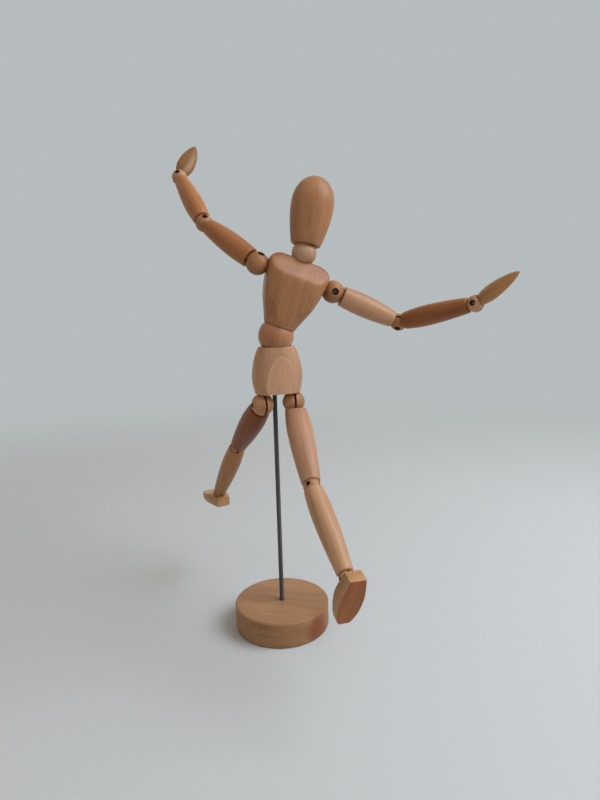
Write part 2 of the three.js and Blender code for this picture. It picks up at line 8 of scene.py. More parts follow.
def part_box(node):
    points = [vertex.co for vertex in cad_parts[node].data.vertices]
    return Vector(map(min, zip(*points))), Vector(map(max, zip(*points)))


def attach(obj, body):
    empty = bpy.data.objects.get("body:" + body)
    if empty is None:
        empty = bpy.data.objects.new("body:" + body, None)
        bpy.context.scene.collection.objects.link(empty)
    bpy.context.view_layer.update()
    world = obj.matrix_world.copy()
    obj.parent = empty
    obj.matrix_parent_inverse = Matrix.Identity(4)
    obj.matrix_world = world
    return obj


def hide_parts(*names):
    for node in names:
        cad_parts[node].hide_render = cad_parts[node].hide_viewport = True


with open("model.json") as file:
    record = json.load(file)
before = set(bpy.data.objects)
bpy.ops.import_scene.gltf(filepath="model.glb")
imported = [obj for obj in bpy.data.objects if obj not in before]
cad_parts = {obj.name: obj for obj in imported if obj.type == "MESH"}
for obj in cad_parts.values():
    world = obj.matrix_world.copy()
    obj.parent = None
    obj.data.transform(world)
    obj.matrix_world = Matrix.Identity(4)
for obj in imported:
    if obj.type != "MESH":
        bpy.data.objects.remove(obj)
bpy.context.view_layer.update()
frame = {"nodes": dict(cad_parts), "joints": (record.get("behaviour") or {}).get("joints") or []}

# Base
# A round disc of beech, turned on a lathe with its edges softened, and drilled in the middle for the rod.
# It is lacquered satin like the figure, and its grain runs across the disc.
MM = 0.001
BASE_DIAMETER = 69
BASE_HEIGHT = 18.7
BASE_EDGE = 1.6
BASE_HOLE_FLOOR = 4
HOLE_CHAMFER = 0.4
ROD_DIAMETER = 3.2
ROD_CLEARANCE = 0.15
BASE_GRAIN_TURN = 35
EDGE_STEPS = 6
ON_AXIS = 0.01
SAME_POINT = 0.002


def start_fresh():
    """Nothing selected, so that an operator touches only what is made next."""
    if bpy.context.mode != "OBJECT":
        bpy.ops.object.mode_set(mode="OBJECT")
    bpy.ops.object.select_all(action="DESELECT")


def choose(piece):
    start_fresh()
    piece.select_set(True)
    bpy.context.view_layer.objects.active = piece


def clean_up(piece, angle=35):
    """Doubles merged, faces outwards, and smooth shading that breaks at the sharp edges."""
    choose(piece)
    bpy.ops.object.mode_set(mode="EDIT")
    bpy.ops.mesh.select_all(action="SELECT")
    bpy.ops.mesh.remove_doubles(threshold=SAME_POINT * MM)
    bpy.ops.mesh.normals_make_consistent(inside=False)
    bpy.ops.object.mode_set(mode="OBJECT")
    bpy.ops.object.shade_smooth_by_angle(angle=math.radians(angle))


def draw_out(name, stations, sides=64, capped=False, corner=None, flat_back=False):
    """A ring drawn out along +Z, ring by ring. A station is height, width and depth in millimetres.
    corner rounds a square ring by that share; flat_back keeps the ring's lower side on one plane."""
    start_fresh()
    if corner is None:
        fill = "NGON" if capped else "NOTHING"
        bpy.ops.mesh.primitive_circle_add(vertices=sides, radius=1, fill_type=fill)
    else:
        bpy.ops.mesh.primitive_plane_add(size=2)
    piece = bpy.context.object
    piece.name = name
    bpy.ops.object.mode_set(mode="EDIT")
    bpy.ops.mesh.select_all(action="SELECT")
    if corner is not None:
        bpy.ops.mesh.bevel(offset=corner, segments=sides // 4 - 1, affect="VERTICES")
        bpy.ops.mesh.select_all(action="SELECT")
    lift = 1 if flat_back else 0
    height, width, depth = stations[0]
    bpy.ops.transform.translate(value=(0, lift, height * MM))
    here = (0, 0, height * MM)
    bpy.ops.transform.resize(value=(width / 2 * MM, depth / 2 * MM, 1), center_override=here)
    for (z0, w0, d0), (z1, w1, d1) in zip(stations, stations[1:]):
        bpy.ops.mesh.extrude_region_move(TRANSFORM_OT_translate={"value": (0, 0, (z1 - z0) * MM)})
        bpy.ops.transform.resize(value=(w1 / w0, d1 / d0, 1), center_override=(0, 0, z1 * MM))
    clean_up(piece)
    return piece


def turned(name, profile, sides=64):
    """Lathe work: profile is radius and height in millimetres, closed on itself or ending on the axis,
    where a radius of ON_AXIS stands for none."""
    return draw_out(name, [(height, 2 * radius, 2 * radius) for radius, height in profile], sides)


def arc(centre, radius, first, last, steps):
    """Points of a round stretch of a profile, with angles in degrees from the outward direction."""
    points = []
    for step in range(steps + 1):
        angle = math.radians(first + (last - first) * step / steps)
        points.append((centre[0] + radius * math.cos(angle), centre[1] + radius * math.sin(angle)))
    return points


def put(piece, pose):
    """Moves a finished piece to its place and writes the place into its mesh."""
    choose(piece)
    piece.matrix_world = pose
    bpy.ops.object.transform_apply(location=True, rotation=True, scale=True)


def linear(hexcode):
    """A colour written as sRGB hex, as the linear values that a shader takes."""
    channels = []
    for at in (1, 3, 5):
        share = int(hexcode[at:at + 2], 16) / 255
        channels.append(share / 12.92 if share <= 0.04045 else ((share + 0.055) / 1.055) ** 2.4)
    return (*channels, 1)


def add_node(tree, kind, links=None, settings=None, values=None):
    """One node, with its settings, its sockets' values and the sockets that feed it."""
    node = tree.nodes.new(kind)
    for key, value in (settings or {}).items():
        setattr(node, key, value)
    for key, value in (values or {}).items():
        node.inputs[key].default_value = value
    for key, source in (links or {}).items():
        tree.links.new(source, node.inputs[key])
    return node


# Steamed beech under satin lacquer: warm tan, fine dark flecks along the grain, broad soft growth rings,
# and a soft highlight from the lacquer. Each piece is cut from its own place in the board. Real beech
# fibres and flecks are finer; they are drawn about a millimetre wide so that they show in the render.
RING_SPACING = 2.6
FIBRE_WIDTH = 0.95
FLECK_WIDTH = 1.1
CLOUD_WIDTH = 11
GRAIN_STRETCH = 0.07
RING_STRETCH = 0.12
RING_SHARE = 0.02
FIBRE_SHARE = 0.13
CLOUD_SHARE = 0.36
DARK_AT, MIDDLE_AT, PALE_AT = 0.09, 0.255, 0.42
FLECKS_FROM, FLECKS_FULL, FLECK_DEPTH = 0.64, 0.74, 0.16
FLECK_TONE = "#9a6d4a"
FIBRE_RELIEF = 0.1
HEART_ASIDE, ASIDE_STEP = 31, 5
HEART_BEHIND, BEHIND_STEP = 22, 9
BOARD_STEP = 43
# At a scale of 1 the wave texture repeats after this length.
WAVE_PERIOD = math.pi / 10
boards_cut = 0


def beech(name, pose, pale="#c49a78", middle="#b28662", dark="#8f6242", roughness=0.42):
    """One board of beech whose grain runs along the pose's Z axis."""
    global boards_cut
    boards_cut += 1
    material = bpy.data.materials.new(name)
    material.use_nodes = True
    tree = material.node_tree
    shader = tree.nodes["Principled BSDF"]
    into = pose.inverted()
    aside = HEART_ASIDE + ASIDE_STEP * (boards_cut % 4)
    behind = HEART_BEHIND - BEHIND_STEP * (boards_cut % 3)
    heart = Vector((aside, behind, BOARD_STEP * boards_cut)) * MM
    place = add_node(tree, "ShaderNodeTexCoord")
    grain = add_node(tree, "ShaderNodeMapping", {"Vector": place.outputs["Object"]}, None,
                     {"Location": into.to_translation() + heart, "Rotation": into.to_euler()})
    drawn = add_node(tree, "ShaderNodeMapping", {"Vector": grain.outputs["Vector"]}, None,
                     {"Scale": (1, 1, RING_STRETCH)})
    rings = add_node(tree, "ShaderNodeTexWave", {"Vector": drawn.outputs["Vector"]},
                     {"wave_type": "RINGS", "rings_direction": "Z"},
                     {"Scale": WAVE_PERIOD / (RING_SPACING * MM), "Distortion": 3.0, "Detail": 2.0,
                      "Detail Scale": 0.6, "Detail Roughness": 0.5})
    fine = add_node(tree, "ShaderNodeMapping", {"Vector": grain.outputs["Vector"]}, None,
                    {"Scale": (1, 1, GRAIN_STRETCH)})
    fibres = add_node(tree, "ShaderNodeTexNoise", {"Vector": fine.outputs["Vector"]}, None,
                      {"Scale": 1 / (2 * FIBRE_WIDTH * MM), "Detail": 1.0, "Roughness": 0.5})
    flecks = add_node(tree, "ShaderNodeTexNoise", {"Vector": fine.outputs["Vector"]}, None,
                      {"Scale": 1 / (2 * FLECK_WIDTH * MM), "Detail": 1.0, "Roughness": 0.5})
    clouds = add_node(tree, "ShaderNodeTexNoise", {"Vector": drawn.outputs["Vector"]}, None,
                      {"Scale": 1 / (CLOUD_WIDTH * MM), "Detail": 2.0, "Roughness": 0.5})
    ringed = add_node(tree, "ShaderNodeMath", {0: rings.outputs["Fac"]}, {"operation": "MULTIPLY"},
                      {1: RING_SHARE})
    with_fibres = add_node(tree, "ShaderNodeMath", {0: fibres.outputs["Fac"], 2: ringed.outputs[0]},
                           {"operation": "MULTIPLY_ADD"}, {1: FIBRE_SHARE})
    shade = add_node(tree, "ShaderNodeMath", {0: clouds.outputs["Fac"], 2: with_fibres.outputs[0]},
                     {"operation": "MULTIPLY_ADD"}, {1: CLOUD_SHARE})
    tone = add_node(tree, "ShaderNodeValToRGB", {"Fac": shade.outputs[0]})
    tone.color_ramp.elements[0].position = DARK_AT
    tone.color_ramp.elements[0].color = linear(dark)
    tone.color_ramp.elements[1].position = PALE_AT
    tone.color_ramp.elements[1].color = linear(pale)
    tone.color_ramp.elements.new(MIDDLE_AT).color = linear(middle)
    specks = add_node(tree, "ShaderNodeMapRange", {"Value": flecks.outputs["Fac"]}, None,
                      {"From Min": FLECKS_FROM, "From Max": FLECKS_FULL,
                       "To Min": 0.0, "To Max": FLECK_DEPTH})
    colour = add_node(tree, "ShaderNodeMix", {0: specks.outputs[0], 6: tone.outputs["Color"]},
                      {"data_type": "RGBA", "blend_type": "MULTIPLY"}, {7: linear(FLECK_TONE)})
    tree.links.new(colour.outputs[2], shader.inputs["Base Color"])
    gloss = add_node(tree, "ShaderNodeMapRange", {"Value": clouds.outputs["Fac"]}, None,
                     {"To Min": roughness - 0.05, "To Max": roughness + 0.07})
    tree.links.new(gloss.outputs[0], shader.inputs["Roughness"])
    relief = add_node(tree, "ShaderNodeBump", {"Height": fibres.outputs["Fac"]}, None,
                      {"Strength": 0.05, "Distance": FIBRE_RELIEF * MM})
    tree.links.new(relief.outputs["Normal"], shader.inputs["Normal"])
    shader.inputs["IOR"].default_value = 1.5
    shader.inputs["Specular IOR Level"].default_value = 0.22
    shader.inputs["Coat Weight"].default_value = 0.09
    shader.inputs["Coat Roughness"].default_value = 0.25
    return material


def dress(piece, material, body, slot, *nodes):
    """The piece's finish, the body that carries it and the solids that it stands for."""
    if piece.data.materials:
        piece.data.materials[0] = material
    else:
        piece.data.materials.append(material)
    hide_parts(*nodes)
    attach(piece, body)


base_radius = BASE_DIAMETER / 2
hole_radius = ROD_DIAMETER / 2 + ROD_CLEARANCE
base_profile = [(ON_AXIS, 0)]
base_profile += arc((base_radius - BASE_EDGE, BASE_EDGE), BASE_EDGE, -90, 0, EDGE_STEPS)
base_profile += arc((base_radius - BASE_EDGE, BASE_HEIGHT - BASE_EDGE), BASE_EDGE, 0, 90, EDGE_STEPS)
base_profile += [(hole_radius + HOLE_CHAMFER, BASE_HEIGHT), (hole_radius, BASE_HEIGHT - HOLE_CHAMFER)]
base_profile += [(hole_radius, BASE_HOLE_FLOOR), (ON_AXIS, BASE_HOLE_FLOOR)]
turned_base = turned("turned_base", base_profile, sides=128)
base_grain = Matrix.Rotation(math.radians(90), 4, "Y")
base_grain = base_grain @ Matrix.Rotation(math.radians(BASE_GRAIN_TURN), 4, "X")
base_wood = beech("beech_base", base_grain, "#ad845f", "#97704e", "#785237", roughness=0.5)

# A redder, darker patch reaches the disc's rim at one place, and fades into the pale wood around it.
RED_PATCH_PLACE = (18, -29.5, 8)
RED_PATCH_CORE = 5
RED_PATCH_REACH = 15
RED_PATCH_SHARE = 0.75
RED_PATCH_TONE = "#7d3b18"
base_tree = base_wood.node_tree
base_shader = base_tree.nodes["Principled BSDF"]
base_place = add_node(base_tree, "ShaderNodeTexCoord")
from_red_patch = add_node(base_tree, "ShaderNodeVectorMath", {0: base_place.outputs["Object"]},
                      {"operation": "DISTANCE"}, {1: Vector(RED_PATCH_PLACE) * MM})
red_patch_share = add_node(base_tree, "ShaderNodeMapRange", {"Value": from_red_patch.outputs["Value"]},
                       {"interpolation_type": "SMOOTHSTEP"},
                       {"From Min": RED_PATCH_CORE * MM, "From Max": RED_PATCH_REACH * MM,
                        "To Min": RED_PATCH_SHARE, "To Max": 0.0})
plain_wood = base_shader.inputs["Base Color"].links[0].from_socket
red_patch_mix = add_node(base_tree, "ShaderNodeMix", {0: red_patch_share.outputs[0], 6: plain_wood},
                      {"data_type": "RGBA"}, {7: linear(RED_PATCH_TONE)})
base_tree.links.new(red_patch_mix.outputs[2], base_shader.inputs["Base Color"])
dress(turned_base, base_wood, "stand", "pale_wood", "base")

# Rod
# A straight length of bright steel rod, bare, pressed into the base and pushed into the pelvis.
# Its ends are cut square and lightly chamfered, and grinding left fine rings around it.
ROD_CHAMFER = 0.3
STEEL_LINE = 0.3
STEEL_LINE_STRETCH = 0.02
rod_low, rod_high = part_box("rod")
rod_foot, rod_top = rod_low.z / MM, rod_high.z / MM
rod_radius = ROD_DIAMETER / 2
steel_rod = turned("steel_rod", [
    (ON_AXIS, rod_foot), (rod_radius - ROD_CHAMFER, rod_foot), (rod_radius, rod_foot + ROD_CHAMFER),
    (rod_radius, rod_top - ROD_CHAMFER), (rod_radius - ROD_CHAMFER, rod_top), (ON_AXIS, rod_top)], sides=48)


def drawn_steel(name, colour, roughness):
    """Drawn bright steel: grey metal whose fine lines along the drawing direction spread its highlight."""
    material = bpy.data.materials.new(name)
    material.use_nodes = True
    tree = material.node_tree
    shader = tree.nodes["Principled BSDF"]
    place = add_node(tree, "ShaderNodeTexCoord")
    along = add_node(tree, "ShaderNodeMapping", {"Vector": place.outputs["Object"]}, None,
                     {"Scale": (1, 1, STEEL_LINE_STRETCH)})
    lines = add_node(tree, "ShaderNodeTexNoise", {"Vector": along.outputs["Vector"]}, None,
                     {"Scale": 1 / (STEEL_LINE * MM), "Detail": 2.0})
    gloss = add_node(tree, "ShaderNodeMapRange", {"Value": lines.outputs["Fac"]}, None,
                     {"To Min": roughness - 0.08, "To Max": roughness + 0.12})
    tree.links.new(gloss.outputs[0], shader.inputs["Roughness"])
    shader.inputs["Base Color"].default_value = linear(colour)
    shader.inputs["Metallic"].default_value = 1
    return material


# Ground bright steel: the rings around the rod spread its highlight into a line along it.
bright_steel = drawn_steel("ground_bright_steel", "#5b5b5c", 0.4)
rod_tree = bright_steel.node_tree
rod_shader = rod_tree.nodes["Principled BSDF"]
around = add_node(rod_tree, "ShaderNodeTangent", None, {"direction_type": "RADIAL", "axis": "Z"})
rod_tree.links.new(around.outputs["Tangent"], rod_shader.inputs["Tangent"])
rod_shader.inputs["Anisotropic"].default_value = 1.0
rod_shader.inputs["Anisotropic Rotation"].default_value = 0.25
dress(steel_rod, bright_steel, "stand", "steel", "rod")

# Pelvis
# A barrel-shaped block of beech with a flat arch sawn on its front, cupped below for the two hip balls
# and above for the waist ball. Its edges are lightly rounded by sanding.
PELVIS_HEIGHT = 31.8
PELVIS_DEPTH = 25
PELVIS_STATIONS = [
    (0, 31.4, 23.6), (0.11, 33.2, 24.5), (0.2, 34.4, 25), (0.28, 35.1, 25), (0.36, 35.4, 25),
    (0.45, 35, 24.9), (0.54, 34.2, 24.6), (0.63, 33.1, 24.2), (0.72, 31.8, 23.6), (0.8, 30.4, 22.9),
    (0.88, 28.7, 22), (0.95, 26.6, 21), (1, 24.9, 20.2),
]
PELVIS_EDGE = 0.42
PELVIS_EDGE_ANGLE = 7
ROD_HOLE_DEPTH = 18.3
FACET_HEIGHT = 37.5
FACET_DEPTH = 3
ON_FACET = 0.9999
WAIST_BALL = 24
WAIST_ABOVE_PELVIS = 7
HIP_BALL = 15.4
HIP_SPACING = 22.4
HIP_BELOW_PELVIS = 7.4
CUP_GAP = 0.4
joints = {joint["name"]: joint for joint in frame["joints"]}


def at(joint):
    return Vector(joints[joint]["pos_m"])


def saw(piece, point, normal):
    """Cuts away what lies beyond a plane and closes the cut."""
    choose(piece)
    bpy.ops.object.mode_set(mode="EDIT")
    bpy.ops.mesh.select_all(action="SELECT")
    bpy.ops.mesh.bisect(plane_co=point, plane_no=normal, use_fill=True, clear_outer=True)
    bpy.ops.object.mode_set(mode="OBJECT")


def bore(piece, cutter, operation="DIFFERENCE"):
    """Takes the cutter's shape out of the piece, or keeps only what lies in it, and removes the cutter."""
    choose(piece)
    hole = piece.modifiers.new("bore", "BOOLEAN")
    hole.object = cutter
    hole.operation = operation
    hole.solver = "EXACT"
    bpy.ops.object.modifier_apply(modifier=hole.name)
    bpy.data.objects.remove(cutter, do_unlink=True)


def soften(piece, width, angle=38, finish=-1):
    """Sanded edges: a narrow round along every sharp edge, with the finish of the slot given."""
    choose(piece)
    edge = piece.modifiers.new("sanded", "BEVEL")
    edge.width = width * MM
    edge.segments = 3
    edge.material = finish
    edge.limit_method = "ANGLE"
    edge.angle_limit = math.radians(angle)
    bpy.ops.object.modifier_apply(modifier=edge.name)
    clean_up(piece)


def ball_cutter(diameter, x, y, z):
    start_fresh()
    bpy.ops.mesh.primitive_uv_sphere_add(segments=64, ring_count=32, radius=diameter / 2 * MM,
                                         location=(x * MM, y * MM, z * MM))
    return bpy.context.object


def rod_cutter(diameter, start, end):
    """A round cutter between two points, in millimetres."""
    start_fresh()
    run = Vector(end) - Vector(start)
    bpy.ops.mesh.primitive_cylinder_add(vertices=32, radius=diameter / 2 * MM, depth=run.length * MM,
                                        location=(Vector(start) + run / 2) * MM,
                                        rotation=run.to_track_quat("Z", "Y").to_euler())
    return bpy.context.object


carved_pelvis = draw_out("carved_pelvis", [(share * PELVIS_HEIGHT, width, depth)
                                           for share, width, depth in PELVIS_STATIONS],
                         sides=96, capped=True)
facet_tilt = math.atan2(FACET_DEPTH, FACET_HEIGHT)
facet_normal = Vector((0, -math.cos(facet_tilt), -math.sin(facet_tilt)))
saw(carved_pelvis, (0, (FACET_DEPTH - PELVIS_DEPTH / 2) * MM, 0), facet_normal)
pelvis_grain = Matrix.Translation((0, at("waist_turn").y, at("pelvis_turn").z))
# The pelvis's wood, then two paler tones: a painted highlight along the rounded edges and painted light on
# the sawn facet.
pelvis_wood_and_painted_light = [beech("beech_pelvis", pelvis_grain, "#c8a083", "#b58c6d", "#946c4f"),
                   beech("beech_edge_painted_highlight", pelvis_grain, "#d2b192", "#c5a181", "#ae8866", roughness=0.5),
                   beech("beech_facet_painted_light", pelvis_grain, "#cfa487", "#c29678", "#a97c5e", roughness=0.46)]
for finish in pelvis_wood_and_painted_light:
    carved_pelvis.data.materials.append(finish)
# The rounded edges take the second tone, their painted highlight.
soften(carved_pelvis, PELVIS_EDGE, PELVIS_EDGE_ANGLE, finish=1)
# The sawn facet takes the third tone, painted light that makes it paler than the barrel.
for face in carved_pelvis.data.polygons:
    if face.normal.dot(facet_normal) > ON_FACET:
        face.material_index = 2
bore(carved_pelvis, ball_cutter(WAIST_BALL + 2 * CUP_GAP, 0, 0, PELVIS_HEIGHT + WAIST_ABOVE_PELVIS))
for side in (-1, 1):
    bore(carved_pelvis, ball_cutter(HIP_BALL + 2 * CUP_GAP, side * HIP_SPACING / 2, 0, -HIP_BELOW_PELVIS))
figure_forward = -at("waist_turn").y / MM
bore(carved_pelvis, rod_cutter(ROD_DIAMETER + 2 * ROD_CLEARANCE, (0, figure_forward, -1),
                               (0, figure_forward, ROD_HOLE_DEPTH)))
clean_up(carved_pelvis, PELVIS_EDGE_ANGLE)
put(carved_pelvis, pelvis_grain)
dress(carved_pelvis, pelvis_wood_and_painted_light[0], "pelvis_body", "wood", "pelvis")

# Waist and neck balls
# Turned beech balls between the trunk's pieces, each bored right through with a hole that flares
# both ways, so that the spring's wire inside can lean with the joint.
NECK_BALL = 16.8
FLARE_ANGLE = 34
WIRE_HOLE = 0.65
TRUNK_BALL_EDGE = 0.25
TRUNK_BALL_STEPS = 40


def trunk_frame(joint, across, up):
    """The place of a piece whose side-to-side axis and upward axis are known."""
    up = up.normalized()
    across = (across - up * across.dot(up)).normalized()
    turn = Matrix((across, up.cross(across), up)).transposed()
    return Matrix.Translation(at(joint)) @ turn.to_4x4()


def ball_frame(lean_joint, bend_joint):
    """A trunk ball's place: it leans about one axis, and the piece above it bends about the other."""
    bend = Vector(joints[bend_joint]["axis"])
    up = bend.cross(Vector(joints[lean_joint]["axis"]))
    return trunk_frame(lean_joint, bend, up if up.z > 0 else -up)


def bored_ball(name, diameter):
    """The hole widens evenly from its throat in the ball's middle to a rim on the ball's surface."""
    reach = diameter / 2
    flare = math.tan(math.radians(FLARE_ANGLE))
    steep = 1 + flare ** 2
    rim_height = (math.sqrt(steep * reach ** 2 - WIRE_HOLE ** 2) - WIRE_HOLE * flare) / steep
    rim = WIRE_HOLE + rim_height * flare
    mouth = math.degrees(math.atan2(rim, rim_height))
    profile = [(WIRE_HOLE, 0), (rim, -rim_height)]
    profile += arc((0, 0), reach, mouth - 90, 90 - mouth, TRUNK_BALL_STEPS)[1:]
    profile.append((WIRE_HOLE, 0))
    ball = turned(name, profile, sides=72)
    soften(ball, TRUNK_BALL_EDGE)
    return ball


waist_sphere = bored_ball("waist_sphere", WAIST_BALL)
waist_pose = ball_frame("waist_side", "waist_bend")
put(waist_sphere, waist_pose)
dress(waist_sphere, beech("beech_waist", waist_pose, "#c08e6c", "#ab7856", "#88593a"), "waist_ball_body",
      "wood", "waist_ball")
neck_sphere = bored_ball("neck_sphere", NECK_BALL)
neck_pose = ball_frame("neck_side", "neck_nod")
put(neck_sphere, neck_pose)
dress(neck_sphere, beech("beech_neck", neck_pose, "#caa78d", "#ba957a", "#977154"), "neck_ball_body",
      "wood", "neck_ball")

# Chest
# A tapered block of beech, narrow at the waist and broad at the shoulders. The breast slopes back from a
# soft ridge to the foot of the neck, and the sides are cupped for the shoulder balls.
CHEST_HEIGHT = 48.8
CHEST_DEPTH = 27
CHEST_CORNER = 0.5
CHEST_ABOVE_WAIST = 4.5
CHEST_RIDGE = 35.3
CHEST_SLOPE_BACK = 4
WAIST_GAP = 0.8
CHEST_GRIT = 0.6
CHEST_SANDING = 80
CHEST_STATIONS = [
    (-0.1, 17.6, 21.4), (0, 20.6, 22.6), (0.06, 22.4, 23.3), (0.15, 25.2, 23.9), (0.24, 28.4, 24.4),
    (0.33, 32, 25.2), (0.42, 35.2, 25.8), (0.54, 38.2, 26.6), (0.62, 39.6, 26.9), (0.7, 40.8, 27),
    (0.79, 42, 26.8), (0.87, 42.6, 26), (0.91, 41.4, 25.2), (0.94, 39.6, 24.2), (0.97, 35.6, 22),
    (0.99, 31, 19.4), (1, 28, 17.6),
]
CHEST_TRIM = [(3, 18.9, 21.2), (10, 24, 24.6), (18, 31.4, 28.6), (26, 42, 36), (70, 90, 70)]
SHOULDER_BALL = 15.4
SHOULDER_SPACING = 54.4
SHOULDER_HEIGHT = 40.8
SHOULDER_BORE_FROM = 7
SPRING_BORE = 5.8
waist_to_neck = at("neck_side") - at("waist_bend")
chest_pose = trunk_frame("waist_bend", Vector(joints["waist_bend"]["axis"]), waist_to_neck)
neck_height = waist_to_neck.length / MM
carved_chest = draw_out("carved_chest", [(CHEST_ABOVE_WAIST + share * CHEST_HEIGHT, width, depth)
                                         for share, width, depth in CHEST_STATIONS],
                        sides=96, capped=True, corner=CHEST_CORNER)
slope = math.atan2(CHEST_HEIGHT - CHEST_RIDGE, CHEST_DEPTH / 2 - CHEST_SLOPE_BACK)
saw(carved_chest, (0, -CHEST_DEPTH / 2 * MM, (CHEST_ABOVE_WAIST + CHEST_RIDGE) * MM),
    (0, -math.sin(slope), math.cos(slope)))
choose(carved_chest)
even = carved_chest.modifiers.new("even", "REMESH")
even.mode = "VOXEL"
even.voxel_size = CHEST_GRIT * MM
bpy.ops.object.modifier_apply(modifier=even.name)
sanded = carved_chest.modifiers.new("sanded", "SMOOTH")
sanded.factor = 0.5
sanded.iterations = CHEST_SANDING
bpy.ops.object.modifier_apply(modifier=sanded.name)
saw(carved_chest, (0, 0, CHEST_ABOVE_WAIST * MM), (0, 0, -1))
round_trim = draw_out("round_trim", CHEST_TRIM, sides=96, capped=True)
bore(carved_chest, round_trim, "INTERSECT")
bore(carved_chest, ball_cutter(WAIST_BALL + 2 * WAIST_GAP, 0, 0, 0))
bore(carved_chest, ball_cutter(NECK_BALL + 2 * CUP_GAP, 0, 0, neck_height))
for side in (-1, 1):
    bore(carved_chest, ball_cutter(SHOULDER_BALL + 2 * CUP_GAP, side * SHOULDER_SPACING / 2, 0,
                                   SHOULDER_HEIGHT))
    bore(carved_chest, rod_cutter(SPRING_BORE, (side * SHOULDER_BORE_FROM, 0, SHOULDER_HEIGHT),
                                  (side * SHOULDER_SPACING / 2, 0, SHOULDER_HEIGHT)))
bore(carved_chest, rod_cutter(SPRING_BORE, (0, 0, 0), (0, 0, neck_height)))
clean_up(carved_chest)
put(carved_chest, chest_pose)
dress(carved_chest, beech("beech_chest", chest_pose, "#b2835e", "#986844", "#764b2d"), "chest_body",
      "wood", "chest")

# Head
# A plain egg of beech turned on the lathe, flat below with a softened edge, and with no face at all.
# It is cupped underneath for the neck ball and bored for the neck spring.
HEAD_HEIGHT = 45.8
HEAD_DIAMETER = 28.8
HEAD_BOTTOM = 20
HEAD_WIDEST = 0.6
HEAD_EDGE = 0.9
HEAD_ABOVE_NECK = 5.3
HEAD_STEPS = 24


def cup_points(ball, gap, bore_radius, steps=10):
    """The cup for a ball, from the bore out to the rim, which lies the gap away from the ball's middle.
    A point is radius and distance from the ball's middle."""
    reach = ball / 2 + CUP_GAP
    inner = math.asin(bore_radius / reach)
    outer = math.acos(gap / reach)
    turns = [inner + (outer - inner) * step / steps for step in range(steps + 1)]
    return [(reach * math.sin(turn), reach * math.cos(turn)) for turn in turns]


head_up = Vector(joints["neck_turn"]["axis"])
head_pose = trunk_frame("neck_turn", Vector(joints["neck_nod"]["axis"]), head_up)
jaw = HEAD_BOTTOM / 2
head_bore_top = HEAD_ABOVE_NECK + HEAD_HEIGHT / 2
head_profile = [(ON_AXIS, head_bore_top), (SPRING_BORE / 2, head_bore_top)]
head_profile += cup_points(NECK_BALL, HEAD_ABOVE_NECK, SPRING_BORE / 2)
head_profile += arc((jaw - HEAD_EDGE, HEAD_ABOVE_NECK + HEAD_EDGE), HEAD_EDGE, -90, -10, 5)
swell_height = HEAD_HEIGHT * HEAD_WIDEST
for step in range(2, HEAD_STEPS + 1):
    share = step / HEAD_STEPS
    swell = math.sin(math.pi / 2 * share)
    head_profile.append((jaw + (HEAD_DIAMETER / 2 - jaw) * swell, HEAD_ABOVE_NECK + swell_height * share))
crown = HEAD_HEIGHT - swell_height
for step in range(1, HEAD_STEPS):
    angle = math.pi / 2 * step / HEAD_STEPS
    head_profile.append((HEAD_DIAMETER / 2 * math.cos(angle),
                         HEAD_ABOVE_NECK + swell_height + crown * math.sin(angle)))
head_profile.append((ON_AXIS, HEAD_ABOVE_NECK + HEAD_HEIGHT))
turned_head = turned("turned_head", head_profile, sides=96)
put(turned_head, head_pose)
dress(turned_head, beech("beech_head", head_pose, "#b8885d", "#a1714d", "#7e5335", roughness=0.44),
      "head_body", "wood", "head")

# Limb balls
# Turned beech balls between the limbs. A cross pin goes through each, its ends sunk in wide holes, and a
# saw slot reaches the pin from one side, so that the next limb's spring can hook over it and swing.
# Diameter, width of the sunk holes, angle of the side left whole, and where that side begins.
BALLS = {
    "shoulder": (15.4, 4.8, 90, 0.35), "elbow": (12, 4, 90, 0.35), "wrist": (11.2, 3.8, 0, 0.3),
    "hip": (15.4, 3.2, -118, 0.8), "knee": (11.2, 3, -118, 0.8), "ankle": (9.6, 2.6, 0, 0.34),
}
RECESS_DEPTH = 2.6
PIN_HOLE = 2.2
SLOT_WIDTH = 1.3
OVERCUT = 1
LIMB_BALL_EDGE = 0.18
INSIDE_BALL = 0.47
HAND_FLAT = 3.6
SIDES = ("right", "left")
BALL_TONES = {
    "shoulder": ("#b28058", "#976742", "#704326"), "elbow": ("#b98862", "#a0704c", "#784a2e"),
    "hip": ("#c4946e", "#ae7e5a", "#85583a"), "knee": ("#c4946e", "#ae7e5a", "#85583a"),
}


def box_cutter(pose, width, depth, height):
    start_fresh()
    bpy.ops.mesh.primitive_cube_add(size=1)
    cutter = bpy.context.object
    cutter.matrix_world = pose @ Matrix.Diagonal((width * MM, depth * MM, height * MM, 1))
    bpy.ops.object.transform_apply(location=True, rotation=True, scale=True)
    return cutter


